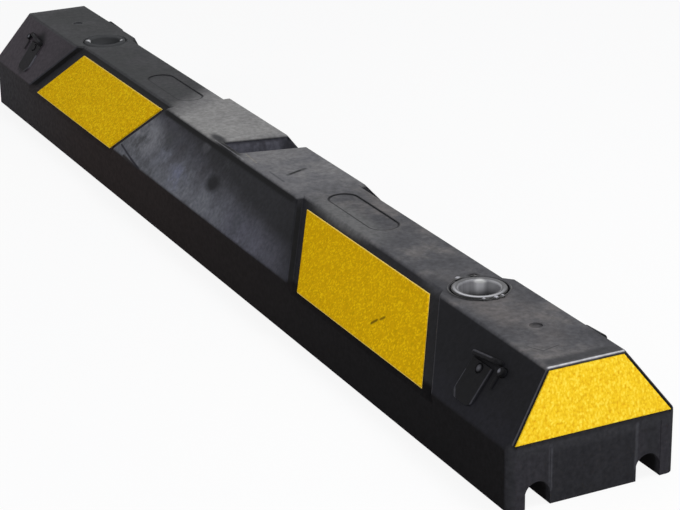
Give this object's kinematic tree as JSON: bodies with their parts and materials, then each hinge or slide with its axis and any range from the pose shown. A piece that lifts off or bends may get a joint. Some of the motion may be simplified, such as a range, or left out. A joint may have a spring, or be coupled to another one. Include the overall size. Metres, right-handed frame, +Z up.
{
  "type": "wheel stop",
  "caption": "Low moulded rubber wheel stop for a parking bay, with sloped sides and ends, slanted yellow reflective panels, a cross slot in the top and flanged cups for ground anchors.",
  "frame": {"origin": "on the ground, under the middle of the block", "axes": "+X along the stop, +Y across it from the front to the back, +Z up"},
  "size_m": [1.2, 0.15, 0.107],
  "materials": {
    "moulded_rubber": "moulded, semi-matt, a little scuffed",
    "side_sheeting": "beaded reflective sheeting",
    "end_sheeting": "pebbled reflective sheeting",
    "cup_polymer": "moulded, half gloss"
  },
  "bodies": {
    "root": {"body": "moulded_rubber", "front_panel_right": "side_sheeting", "front_panel_left": "side_sheeting", "back_panel_right": "side_sheeting", "back_panel_left": "side_sheeting", "end_panel_right": "end_sheeting", "end_panel_left": "end_sheeting", "fixing_cup_right": "cup_polymer", "fixing_cup_left": "cup_polymer"}
  },
  "joints": []
}
